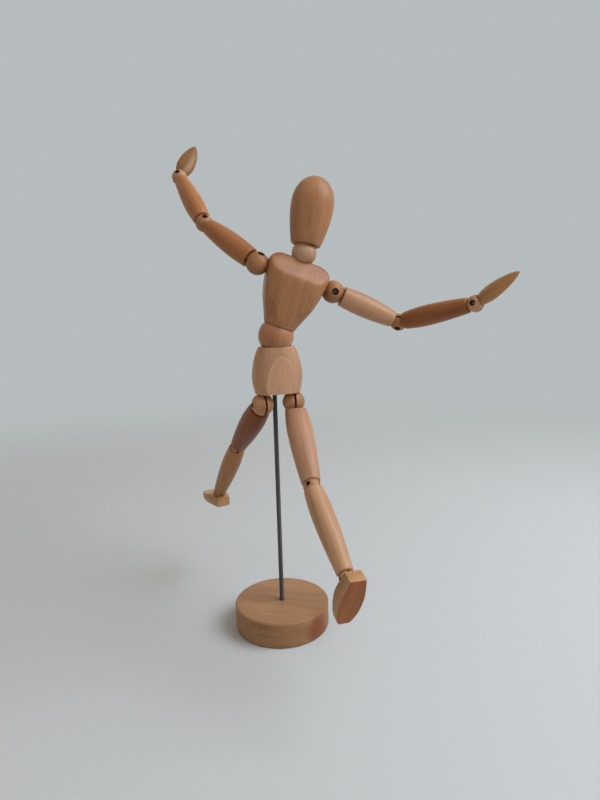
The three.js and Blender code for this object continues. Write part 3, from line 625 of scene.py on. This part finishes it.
def slotted_ball(name, joint, mirror=1):
    """web is the angle of the side that the slot leaves whole, and web_from its share of the radius."""
    diameter, recess, web, web_from = BALLS[joint]
    radius = diameter / 2
    start_fresh()
    bpy.ops.mesh.primitive_uv_sphere_add(segments=64, ring_count=40, radius=radius * MM,
                                         rotation=(0, math.radians(90), 0))
    ball = bpy.context.object
    ball.name = name
    bpy.ops.object.transform_apply(location=True, rotation=True, scale=True)
    web_at = web_from * radius
    turn = Matrix.Rotation(math.radians(-mirror * web), 4, "X")
    middle = Matrix.Translation((0, 0, (web_at - radius - OVERCUT) / 2 * MM))
    bore(ball, box_cutter(turn @ middle, SLOT_WIDTH, diameter + 2 * OVERCUT, radius + OVERCUT + web_at))
    floor = radius - RECESS_DEPTH
    bore(ball, rod_cutter(recess, (floor, 0, 0), (radius + OVERCUT, 0, 0)))
    bore(ball, rod_cutter(recess, (-radius - OVERCUT, 0, 0), (-floor, 0, 0)))
    bore(ball, rod_cutter(PIN_HOLE, (-radius, 0, 0), (radius, 0, 0)))
    if joint == "wrist":
        flat = Matrix.Translation((0, 0, (HAND_FLAT + radius) * MM))
        bore(ball, box_cutter(flat, diameter, diameter, diameter))
    soften(ball, LIMB_BALL_EDGE)
    return ball


# Bare wood in the drilled holes and saw slots: unlacquered and dull, and dark brown as painted shade in the
# holes.
bare_wood_and_painted_shade = bpy.data.materials.new("bare_bored_beech_painted_shade")
bare_wood_and_painted_shade.use_nodes = True
bare_and_shaded_shader = bare_wood_and_painted_shade.node_tree.nodes["Principled BSDF"]
bare_and_shaded_shader.inputs["Base Color"].default_value = linear("#5c3a26")
bare_and_shaded_shader.inputs["Roughness"].default_value = 0.8


def show_bores(ball, middle, diameter):
    """Every face that lies well inside the ball's surface belongs to a hole or to the slot."""
    # The faces in the holes and the slot take the dark tone, their painted shade.
    ball.data.materials.append(bare_wood_and_painted_shade)
    for face in ball.data.polygons:
        if (face.center - middle).length < INSIDE_BALL * diameter * MM:
            face.material_index = 1


def limb_frame(joint, along):
    """A limb's place: its pin lies along X and the limb runs along Z."""
    pin = Vector(joints[joint + "_flex"]["axis"])
    return trunk_frame(joint + "_flex", pin, along)


def copy_of(piece, name):
    twin = piece.copy()
    twin.data = piece.data.copy()
    twin.name = name
    bpy.context.collection.objects.link(twin)
    return twin


for joint in ("shoulder", "elbow", "hip", "knee"):
    for side in SIDES:
        name = f"{side}_{joint}"
        mirrored = side == "right" and joint in ("shoulder", "elbow")
        ball = slotted_ball(f"{name}_sphere", joint, -1 if mirrored else 1)
        pose = limb_frame(name, Vector(joints[f"{name}_swivel"]["axis"]))
        put(ball, pose)
        dress(ball, beech(f"beech_{name}", pose, *BALL_TONES[joint]), f"{name}_ball_body", "wood",
              f"{name}_ball")
        show_bores(ball, at(f"{name}_flex"), BALLS[joint][0])

# Limbs
# Turned beech limbs that swell near their upper end and taper to the lower one, cupped at both ends for
# the balls and bored through for the spring. The thighs' tops are sawn off at a slant on the raised side.
# Length between the balls' middles, width at the start, widest width and where, width at the end, the gaps
# from the balls' middles to the rims, and the two balls.
LIMBS = {
    "upper_arm": (51.5, 14, 15.2, 0.35, 11.6, 6.6, 4.8, "shoulder", "elbow"),
    "forearm": (56, 12, 14.2, 0.32, 10.4, 4.8, 4.4, "elbow", "wrist"),
    "thigh": (68, 14.6, 17.2, 0.3, 12.6, 6.2, 2.6, "hip", "knee"),
    "shin": (64, 12.6, 14.4, 0.3, 10.4, 2.6, 3, "knee", "ankle"),
}
LIMB_STEPS = 40
RIM_ROUND = 1.25
RIM_MEETS = 9
THIGH_RELIEF = 35
THIGH_EDGE = 0.4
THIGH_EDGE_ANGLE = 50


def turned_limb(name, length, start, widest, widest_at, end, start_gap, end_gap, first_ball, last_ball):
    first_cup = cup_points(BALLS[first_ball][0], start_gap, SPRING_BORE / 2)
    last_cup = cup_points(BALLS[last_ball][0], end_gap, SPRING_BORE / 2)
    last_cup = [(radius, length - reach) for radius, reach in reversed(last_cup)]
    low = start_gap + RIM_ROUND
    high = length - end_gap - RIM_ROUND
    swell = arc((start / 2 - RIM_ROUND, low), RIM_ROUND, -90, -RIM_MEETS, 5)
    for step in range(LIMB_STEPS + 1):
        share = step / LIMB_STEPS
        if share < widest_at:
            diameter = start + (widest - start) * math.sin(math.pi / 2 * share / widest_at)
        else:
            fall = (share - widest_at) / (1 - widest_at)
            diameter = end + (widest - end) * math.cos(math.pi / 2 * fall)
        swell.append((diameter / 2, low + (high - low) * share))
    swell += arc((end / 2 - RIM_ROUND, high), RIM_ROUND, RIM_MEETS, 90, 5)
    return turned(name, first_cup + swell + last_cup + first_cup[:1])


LIMB_TONES = {
    "right_upper_arm": ("#b5804f", "#9d663e", "#7c4a2a"),
    "left_upper_arm": ("#c69c7c", "#b38766", "#8f6548"),
    "right_forearm": ("#b88350", "#a16a40", "#7f4d2c"),
    "left_forearm": ("#ac7445", "#905832", "#6e3d1e"),
    # The right thigh is redder wood, and its tones are darker still: painted shade, as it lies in shadow
    # under the pelvis.
    "right_thigh": ("#945728", "#79411b", "#582b10"),
    "left_thigh": ("#c5987c", "#b08569", "#8c6147"),
    "right_shin": ("#b98a5c", "#a4734a", "#835636"),
    "left_shin": ("#cba684", "#ba9270", "#966e4d"),
}
for limb, sizes in LIMBS.items():
    start, start_gap, first_joint, last_joint = sizes[1], sizes[5], sizes[7], sizes[8]
    pattern = turned_limb("pattern_limb", *sizes)
    if limb == "thigh":
        sawn = Matrix.Translation((0, 0, start_gap * MM))
        sawn = sawn @ Matrix.Rotation(math.radians(THIGH_RELIEF), 4, "X")
        sawn = sawn @ Matrix.Translation((0, 0, -start * MM))
        bore(pattern, box_cutter(sawn, 4 * start, 4 * start, 2 * start))
        soften(pattern, THIGH_EDGE, THIGH_EDGE_ANGLE)
    for side in SIDES:
        name = f"{side}_{limb}"
        run = at(f"{side}_{last_joint}_flex") - at(f"{side}_{first_joint}_flex")
        pose = limb_frame(f"{side}_{first_joint}", run)
        piece = copy_of(pattern, f"{side}_turned_{limb}")
        half_turn = 180 if limb == "thigh" and side == "right" else 0
        put(piece, pose @ Matrix.Rotation(math.radians(half_turn), 4, "Z"))
        dress(piece, beech(f"beech_{name}", pose, *LIMB_TONES[name]), f"{name}_body", "wood", name)
    bpy.data.objects.remove(pattern, do_unlink=True)

# Hands
# Each hand is a leaf of beech, broad near its root and thinned to a tip, glued to a flat on the wrist ball.
# The ball has the same pin and slot as the others, and turns with the hand.
WRIST_FLEX = {"right": -40.8, "left": 23.1}
HAND_LENGTH = 29
GLUE_LINE = 0.1
HAND_STATIONS = [
    (0, 8.4, 6), (0.03, 9.1, 6.6), (0.1, 10.8, 7), (0.22, 12.5, 7.1), (0.3, 12.8, 7), (0.36, 12.8, 6.8),
    (0.44, 12.5, 6.4), (0.52, 12, 5.9), (0.6, 11.1, 5.3), (0.68, 10, 4.7), (0.76, 8.6, 4.1),
    (0.83, 7, 3.4), (0.89, 5.3, 2.8), (0.94, 3.7, 2.2), (0.98, 1.9, 1.5), (1, 0.7, 0.6),
]
HAND_TURN = {"right": -58, "left": 58}
HAND_TONES = {"right": ("#a67e53", "#8c643b", "#684322"), "left": ("#b88d62", "#9d7145", "#754b28")}


def end_frame(name, along, flex):
    """A hand's or foot's place: its limb's frame, turned about the pin by the joint's angle at rest."""
    return limb_frame(name, along) @ Matrix.Rotation(math.radians(flex), 4, "X")


leaf = draw_out("pattern_hand", [(HAND_FLAT + GLUE_LINE + share * HAND_LENGTH, broad, thick)
                                 for share, broad, thick in HAND_STATIONS], sides=48, capped=True)
wrist_pattern = slotted_ball("pattern_wrist", "wrist")
for side in SIDES:
    forearm_run = at(f"{side}_wrist_flex") - at(f"{side}_elbow_flex")
    pose = end_frame(f"{side}_wrist", forearm_run, WRIST_FLEX[side])
    hand = copy_of(leaf, f"{side}_carved_hand")
    put(hand, pose @ Matrix.Rotation(math.radians(HAND_TURN[side]), 4, "Z"))
    dress(hand, beech(f"beech_{side}_hand", pose, *HAND_TONES[side]), f"{side}_hand_body", "wood",
          f"{side}_hand")
    ball = copy_of(wrist_pattern, f"{side}_wrist_sphere")
    put(ball, pose)
    dress(ball, beech(f"beech_{side}_wrist", pose), f"{side}_hand_body", "wood", f"{side}_wrist_ball")
    show_bores(ball, at(f"{side}_wrist_flex"), BALLS["wrist"][0])
for pattern in (leaf, wrist_pattern):
    bpy.data.objects.remove(pattern, do_unlink=True)

# Feet
# Each foot is a wedge of beech with a flat sole, a square heel and an instep that slopes to the toe.
# A cup on top takes the ankle ball, which is glued in and turns with the foot. The sole is painted darker
# and redder than the rest: painted shade, warmed as by light bounced from below.
ANKLE_FLEX = {"right": 36, "left": 15}
SOLE = 10
FOOT_STATIONS = [
    (-8, 10.5, 7.8), (-1.9, 13.6, 7.8), (3.3, 15.7, 7.8), (4.8, 16, 7.8), (7.7, 16.6, 7.1),
    (11.25, 16.5, 6.2), (14, 15.9, 5.5), (16.7, 15.1, 4.8), (19, 13.7, 4.3), (21.3, 11.9, 3.7),
    (23.3, 9.6, 3.2), (25, 7, 2.8),
]
FOOT_CORNER = 0.12
FOOT_EDGE = 0.4
ON_SOLE = 0.99
FOOT_TONES = ("#c09a74", "#ab8058", "#86603f")
SOLE_PAINTED_SHADE_TONES = ("#b47542", "#99592d", "#743f1c")
wedge = draw_out("pattern_foot", FOOT_STATIONS, sides=24, capped=True, corner=FOOT_CORNER, flat_back=True)
soften(wedge, FOOT_EDGE)
lay = Matrix(((1, 0, 0), (0, 0, 1), (0, -1, 0))).to_4x4()
put(wedge, Matrix.Translation((0, 0, SOLE * MM)) @ lay)
bore(wedge, ball_cutter(BALLS["ankle"][0] + 2 * CUP_GAP, 0, 0, 0))
clean_up(wedge)
ankle_pattern = slotted_ball("pattern_ankle", "ankle")
for side in SIDES:
    shin_run = at(f"{side}_ankle_flex") - at(f"{side}_knee_flex")
    pose = end_frame(f"{side}_ankle", shin_run, ANKLE_FLEX[side])
    foot = copy_of(wedge, f"{side}_carved_foot")
    put(foot, pose)
    foot_grain = pose @ Matrix.Rotation(math.radians(90), 4, "X")
    dress(foot, beech(f"beech_{side}_foot", foot_grain, *FOOT_TONES), f"{side}_foot_body", "wood",
          f"{side}_foot")
    # The sole's faces take a darker, redder tone: painted shade, warmed as by bounced light.
    foot.data.materials.append(beech(f"beech_{side}_sole_painted_shade", foot_grain, *SOLE_PAINTED_SHADE_TONES))
    sole_normal = pose.to_3x3() @ Vector((0, 0, 1))
    for face in foot.data.polygons:
        if face.normal.dot(sole_normal) > ON_SOLE:
            face.material_index = 1
    ball = copy_of(ankle_pattern, f"{side}_ankle_sphere")
    put(ball, pose)
    dress(ball, beech(f"beech_{side}_ankle", pose), f"{side}_foot_body", "wood", f"{side}_ankle_ball")
    show_bores(ball, at(f"{side}_ankle_flex"), BALLS["ankle"][0])
for pattern in (wedge, ankle_pattern):
    bpy.data.objects.remove(pattern, do_unlink=True)

# Pins and springs
# Steel cross pins in the balls and the tension springs inside the wood, which keep their solids' shapes.
# Only the pins' ends show, at the bottom of their sunk holes.
spring_steel = drawn_steel("drawn_spring_steel", "#6f7175", 0.4)
# The pins' ends are darker and browner than the springs: painted shade at the bottom of their sunk holes.
dark_steel = drawn_steel("oxidised_pin_steel", "#6b6560", 0.45)
for name, node in frame["nodes"].items():
    if name.endswith("_pin"):
        node.material_slots[0].material = dark_steel
    elif name.endswith("_spring"):
        node.material_slots[0].material = spring_steel

# Floor and light
# A plain pale floor under soft studio light: a broad cool lamp high on the right, where the window is,
# weak warm ones from the left and from behind, and an even warm surround. Lengths here are in metres.
FLOOR_HALF = 30
FLOOR_FADE_FROM = 0.3
FLOOR_FADE_TO = 1.0
SURROUND = "#b6bcbd"
SURROUND_LIGHT = "#ecdfcf"
SURROUND_STRENGTH = 0.45
FIGURE_MIDDLE = (0.02, -0.02, 0.2)


def seen_rays(tree):
    """1 for rays that show the background: straight from the camera, mirrored or passed through."""
    ray = add_node(tree, "ShaderNodeLightPath")
    seen = ray.outputs["Is Camera Ray"]
    for kind in ("Is Glossy Ray", "Is Transmission Ray"):
        either = add_node(tree, "ShaderNodeMath", {0: seen, 1: ray.outputs[kind]}, {"operation": "MAXIMUM"})
        seen = either.outputs[0]
    return seen


start_fresh()
bpy.ops.mesh.primitive_plane_add(size=2 * FLOOR_HALF)
floor = bpy.context.object
floor.name = "studio_floor"
matt_paper = bpy.data.materials.new("matt_paper")
matt_paper.use_nodes = True
paper_tree = matt_paper.node_tree
paper = paper_tree.nodes["Principled BSDF"]
paper.inputs["Base Color"].default_value = linear("#c1c8cc")
paper.inputs["Roughness"].default_value = 0.9
floor_place = add_node(paper_tree, "ShaderNodeTexCoord")
distance = add_node(paper_tree, "ShaderNodeVectorMath", {0: floor_place.outputs["Object"]},
                    {"operation": "LENGTH"})
fade = add_node(paper_tree, "ShaderNodeMapRange", {"Value": distance.outputs["Value"]},
                {"interpolation_type": "SMOOTHSTEP"},
                {"From Min": FLOOR_FADE_FROM, "From Max": FLOOR_FADE_TO})
far_floor = add_node(paper_tree, "ShaderNodeEmission", None, None, {"Color": linear(SURROUND)})
seen_fade = add_node(paper_tree, "ShaderNodeMath", {0: fade.outputs[0], 1: seen_rays(paper_tree)},
                     {"operation": "MULTIPLY"})
paper_mix = add_node(paper_tree, "ShaderNodeMixShader", {0: seen_fade.outputs[0], 1: paper.outputs["BSDF"],
                                                         2: far_floor.outputs["Emission"]})
paper_tree.links.new(paper_mix.outputs[0], paper_tree.nodes["Material Output"].inputs["Surface"])
floor.data.materials.append(matt_paper)


def soft_lamp(name, place, size, watts, colour):
    """A square lamp that shines on the figure and isn't seen itself."""
    start_fresh()
    bpy.ops.object.light_add(type="AREA", location=place)
    lamp = bpy.context.object
    lamp.name = name
    lamp.visible_camera = False
    lamp.data.size = size
    lamp.data.energy = watts
    lamp.data.color = linear(colour)[:3]
    lamp.rotation_euler = (Vector(FIGURE_MIDDLE) - Vector(place)).to_track_quat("-Z", "Y").to_euler()


soft_lamp("window_light", (0.69, -0.45, 1.03), size=0.9, watts=15.2, colour="#f6f9ff")
soft_lamp("left_fill", (-0.9, -0.5, 0.5), size=0.8, watts=0.8, colour="#ffe6cc")
soft_lamp("back_fill", (0.3, 1.1, 0.6), size=0.8, watts=1.2, colour="#ffeedd")
world = bpy.data.worlds.new("pale_surround")
world.use_nodes = True
world_tree = world.node_tree
surround = world_tree.nodes["Background"]
surround.inputs["Color"].default_value = linear(SURROUND_LIGHT)
surround.inputs["Strength"].default_value = SURROUND_STRENGTH
seen = add_node(world_tree, "ShaderNodeBackground", None, None, {"Color": linear(SURROUND), "Strength": 1})
world_mix = add_node(world_tree, "ShaderNodeMixShader", {0: seen_rays(world_tree),
                                                         1: surround.outputs["Background"],
                                                         2: seen.outputs["Background"]})
world_tree.links.new(world_mix.outputs[0], world_tree.nodes["World Output"].inputs["Surface"])
bpy.context.scene.world = world

# Camera
# It stands where the photograph was taken, a little left of the figure's front and looking slightly down.
CAMERA_PLACE = (-0.11813, -0.39608, 0.24787)
CAMERA_YAW = 19.05
CAMERA_PITCH = 10.716
CAMERA_ROLL = 1.599
IMAGE_WIDTH_MM = 36
FOCAL_LENGTH_MM = 36
yaw, pitch, roll = (math.radians(angle) for angle in (CAMERA_YAW, CAMERA_PITCH, CAMERA_ROLL))
forward = Vector((math.sin(yaw) * math.cos(pitch), math.cos(yaw) * math.cos(pitch), -math.sin(pitch)))
level = Vector((math.cos(yaw), -math.sin(yaw), 0))
down = forward.cross(level)
right = level * math.cos(roll) + down * math.sin(roll)
down = down * math.cos(roll) - level * math.sin(roll)
start_fresh()
bpy.ops.object.camera_add()
camera = bpy.context.object
facing = Matrix((right, -down, -forward)).transposed().to_4x4()
camera.matrix_world = Matrix.Translation(CAMERA_PLACE) @ facing
camera.data.sensor_fit = "HORIZONTAL"
camera.data.sensor_width = IMAGE_WIDTH_MM
camera.data.lens = FOCAL_LENGTH_MM
camera.data.clip_start = 0.01
bpy.context.scene.camera = camera
bpy.context.scene.view_settings.view_transform = "Standard"
